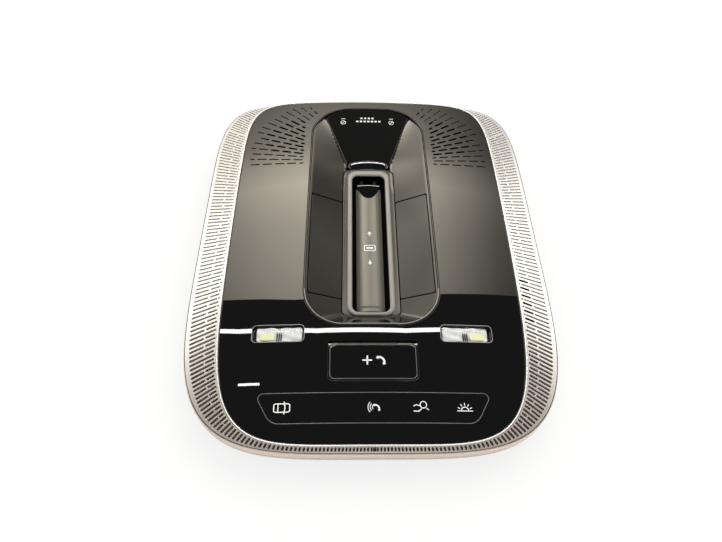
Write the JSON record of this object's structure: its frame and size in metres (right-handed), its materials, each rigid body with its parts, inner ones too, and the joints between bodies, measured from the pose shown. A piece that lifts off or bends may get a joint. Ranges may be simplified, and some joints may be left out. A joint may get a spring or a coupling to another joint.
{
  "type": "car interior light",
  "caption": "Overhead console with courtesy lamps, smoked reading lamps in a recess, a sliding roof switch, a covered emergency button and a silver grille ring.",
  "frame": {"origin": "bottom centre of the bounding box, on the back face that lies on the table", "axes": "+Z is the side that faces the cabin, +Y the windscreen side, +X to the right of it"},
  "size_m": [0.24, 0.293, 0.039],
  "materials": {
    "housing_plastic": "moulded black",
    "frame_plastic": "moulded dark grey",
    "satin_silver": "satin silver lacquer",
    "chrome_bead": "polished",
    "backing_cloth": "fine brown cloth",
    "piano_black": "high gloss",
    "trough_gloss": "gloss brown black",
    "smoked_lens": "smoked gloss",
    "bezel_satin": "satin",
    "bar_satin": "satin warm grey",
    "black_plastic": "fine grain",
    "clear_window": "clear",
    "white_reflector": "white",
    "led_yellow": "phosphor",
    "button_red": "matt red",
    "steel": "zinc plated",
    "board_green": "solder mask",
    "film_amber": "polyimide",
    "natural_plastic": "natural acetal"
  },
  "bodies": {
    "console": {"rear_housing": "housing_plastic", "carrier_frame": "frame_plastic", "outer_rim": "satin_silver", "grille_ring": "satin_silver", "backing_cloth": "backing_cloth", "trim_bead": "chrome_bead", "front_panel": "piano_black", "trough": "trough_gloss", "trough_trim": "chrome_bead", "display_window": "piano_black", "indicator_board": "board_green", "reading_lens_left": "smoked_lens", "reading_lens_right": "smoked_lens", "reading_lamp_left": "white_reflector", "reading_lamp_right": "white_reflector", "switch_bezel": "bezel_satin", "switch_well": "black_plastic", "guide_rods": "steel", "microswitch_front": "black_plastic", "microswitch_rear": "black_plastic", "lamp_lens_left": "clear_window", "lamp_lens_right": "clear_window", "lamp_reflector_left": "white_reflector", "lamp_reflector_right": "white_reflector", "lamp_led_left": "led_yellow", "lamp_led_right": "led_yellow", "emergency_pocket": "black_plastic", "emergency_hinge_pin": "steel", "touch_sensor_film": "film_amber", "main_board": "board_green", "main_connector": "black_plastic", "speaker_frame_left": "black_plastic", "speaker_frame_right": "black_plastic", "speaker_cone_left": "black_plastic", "speaker_cone_right": "black_plastic", "speaker_magnet_left": "steel", "speaker_magnet_right": "steel", "microphone": "black_plastic", "housing_screws": "steel", "retaining_clips": "steel"},
    "switch": {"roof_switch": "bar_satin", "switch_nose": "piano_black", "switch_carriage": "natural_plastic"},
    "cover": {"emergency_cover": "piano_black"},
    "button": {"emergency_button": "button_red"}
  },
  "joints": [
    {"name": "roof_switch_slide", "type": "slide", "parent": "console", "child": "switch", "axis": [0, 1, 0], "range_m": [-0.002, 0.002], "stiffness_N_per_m": 1000},
    {"name": "cover_hinge", "type": "hinge", "parent": "console", "child": "cover", "pos_m": [0, -0.08301, 0.03454], "axis": [-1, 0, 0], "range_deg": [0, 85]},
    {"name": "button_press", "type": "slide", "parent": "console", "child": "button", "axis": [0, -0.0901, 0.9959], "range_m": [-0.0012, 0], "stiffness_N_per_m": 800}
  ]
}
